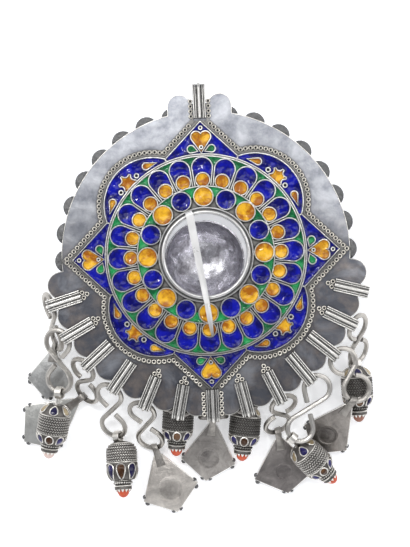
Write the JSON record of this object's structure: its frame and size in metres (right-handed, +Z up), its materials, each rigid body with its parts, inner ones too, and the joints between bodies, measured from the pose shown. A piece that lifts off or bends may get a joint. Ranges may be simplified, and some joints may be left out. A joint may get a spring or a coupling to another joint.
{
  "type": "pectoral brooch",
  "caption": "Large round pin brooch lying face down: enamelled star plaque on a silver disc, swinging ring pin, ribbed bails and a fringe of hooked kite and bead drops.",
  "frame": {"origin": "on the surface the brooch lies on, straight under the centre of the pin ring", "axes": "+Z up, out of the brooch's back; +Y towards the top bail; +X to the right in the view of the back"},
  "size_m": [0.1827, 0.2197, 0.0279],
  "materials": {
    "silver": "worn bright silver",
    "dark_silver": "tarnished silver",
    "enamel_blue": "glossy opaque enamel",
    "enamel_green": "glossy opaque enamel",
    "enamel_amber": "glossy opaque enamel",
    "coral": "polished coral"
  },
  "bodies": {
    "brooch": {"back_plate": "dark_silver", "star_frame": "silver", "enamel_blue": "enamel_blue", "enamel_green": "enamel_green", "enamel_amber": "enamel_amber", "pin_ring": "silver", "centre_boss": "dark_silver", "top_bail": "silver", "bail_01": "silver", "bail_02": "silver", "bail_03": "silver", "bail_04": "silver", "bail_05": "silver", "bail_06": "silver", "bail_07": "silver", "bail_08": "silver", "bail_09": "silver", "bail_10": "silver", "bail_11": "silver", "bail_12": "silver", "bail_13": "silver", "hook_01": "silver", "hook_02": "silver", "hook_03": "silver", "hook_04": "silver", "hook_05": "silver", "link_06": "dark_silver", "link_07": "dark_silver", "link_08": "dark_silver", "hook_09": "silver", "hook_10": "silver", "hook_11": "silver", "hook_12": "silver", "kite_01": "silver", "kite_03": "silver", "kite_05": "silver", "kite_07": "silver", "kite_09": "silver", "kite_11": "silver", "bead_02": "dark_silver", "bead_04": "dark_silver", "bead_06": "dark_silver", "bead_08": "dark_silver", "bead_10": "dark_silver", "bead_12": "dark_silver", "coral_02": "coral", "coral_04": "coral", "coral_06": "coral", "coral_08": "coral", "coral_10": "coral", "coral_12": "coral"},
    "pin": {"pin": "silver"}
  },
  "joints": [
    {"name": "pin_hinge", "type": "hinge", "parent": "brooch", "child": "pin", "pos_m": [-0.00728, 0.02002, 0.0254], "axis": [-0.9397, -0.342, 0], "range_deg": [0, 65]}
  ]
}
